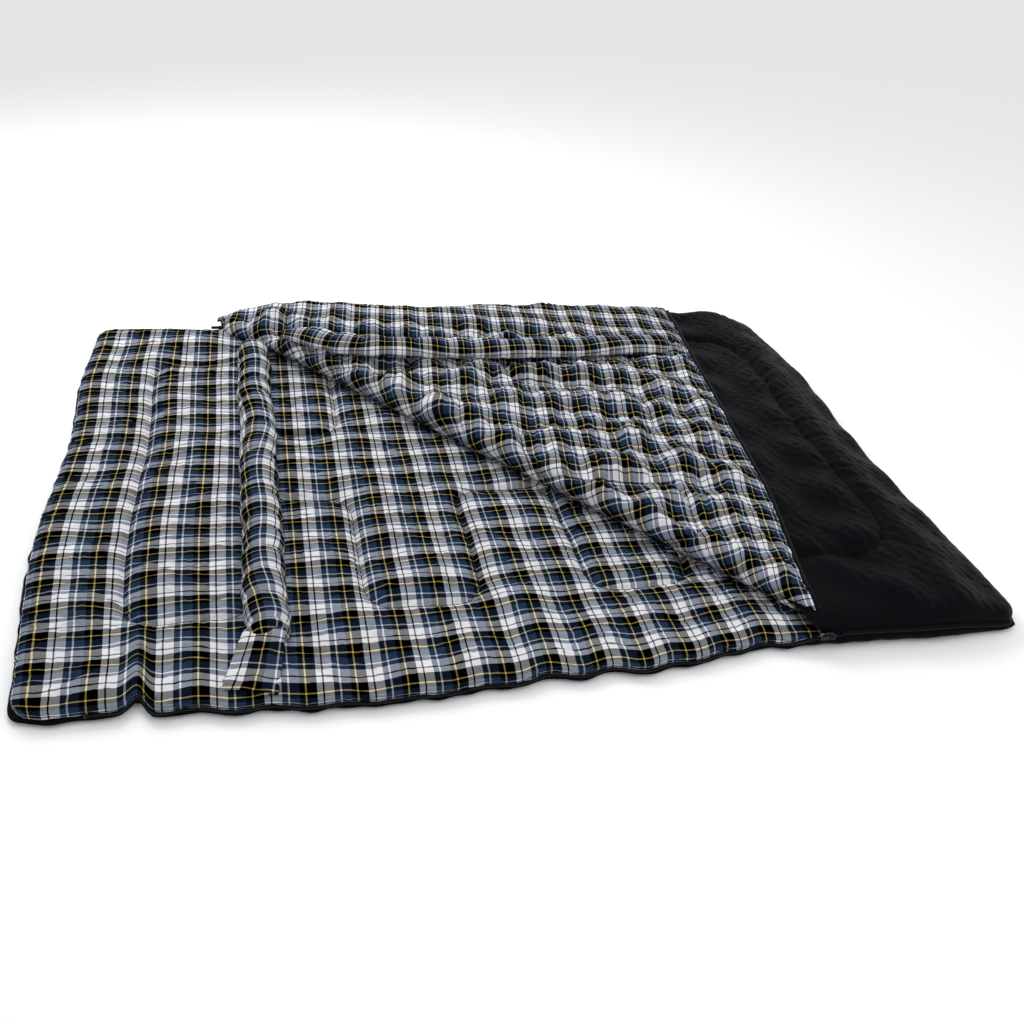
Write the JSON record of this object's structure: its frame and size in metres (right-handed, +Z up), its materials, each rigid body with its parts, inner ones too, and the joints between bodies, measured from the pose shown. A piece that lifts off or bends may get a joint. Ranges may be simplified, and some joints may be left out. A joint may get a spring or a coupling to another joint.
{
  "type": "rectangular sleeping bag",
  "caption": "Double rectangular sleeping bag lying flat, quilted top layer folded back diagonally over the foot end to show its plaid liner, neck rolls and a zip on each long side.",
  "frame": {"origin": "centre of the bag's footprint, on the ground it lies on", "axes": "+X towards the sleeper's feet, +Y towards the sleeper's left side, +Z up"},
  "size_m": [2.3026, 1.8818, 0.176],
  "materials": {
    "shell_fabric": "satin",
    "plaid_flannel": "matte",
    "fibre_fill": "matte",
    "zip_tape": "matte",
    "zip_coil": "satin",
    "zip_metal": "satin"
  },
  "bodies": {
    "bag": {"bottom_fill": "fibre_fill", "bottom_liner": "plaid_flannel", "bottom_neck_roll_cover": "plaid_flannel", "bottom_neck_roll_fill": "fibre_fill", "bottom_neck_roll_tab": "plaid_flannel", "bottom_shell": "shell_fabric", "foot_seam_binding": "zip_tape", "left_zip_coil_bottom": "zip_coil", "left_zip_coil_closed": "zip_coil", "left_zip_tape_bottom": "zip_tape", "left_zip_tape_top": "zip_tape", "right_zip_coil_bottom": "zip_coil", "right_zip_coil_closed": "zip_coil", "right_zip_tape_bottom": "zip_tape", "right_zip_tape_top": "zip_tape", "top_fill": "fibre_fill", "top_fold": "plaid_flannel", "top_liner": "plaid_flannel", "top_shell": "shell_fabric", "zip_bottom_stops": "zip_metal", "zip_top_stops_bottom": "zip_metal"},
    "flap": {"flap_fill": "fibre_fill", "flap_liner": "plaid_flannel", "flap_neck_roll_cover": "plaid_flannel", "flap_neck_roll_fill": "fibre_fill", "flap_shell": "shell_fabric", "right_zip_coil_flap": "zip_coil", "right_zip_tape_flap": "zip_tape"},
    "right_slider": {"right_zip_slider": "zip_metal"},
    "right_pull": {"right_zip_pull": "zip_metal"},
    "left_slider": {"left_zip_slider": "zip_metal"},
    "left_pull": {"left_zip_pull": "zip_metal"}
  },
  "joints": [
    {"name": "flap_fold", "type": "hinge", "parent": "bag", "child": "flap", "pos_m": [-0.06575, -0.04905, 0.11], "axis": [0.6239, -0.7815, 0], "range_deg": [0, 179.5]},
    {"name": "right_slider_run", "type": "slide", "parent": "bag", "child": "right_slider", "axis": [1, 0, 0], "range_m": [-1.602, 0.47]},
    {"name": "right_pull_swing", "type": "hinge", "parent": "right_slider", "child": "right_pull", "pos_m": [0.62675, -0.93795, 0.044], "axis": [0, 0, 1], "range_deg": [0, 180]},
    {"name": "left_slider_run", "type": "slide", "parent": "bag", "child": "left_slider", "axis": [1, 0, 0], "range_m": [-0.205, 1.867]},
    {"name": "left_pull_swing", "type": "hinge", "parent": "left_slider", "child": "left_pull", "pos_m": [-0.77025, 0.83985, 0.044], "axis": [0, 0, -1], "range_deg": [0, 180]}
  ]
}
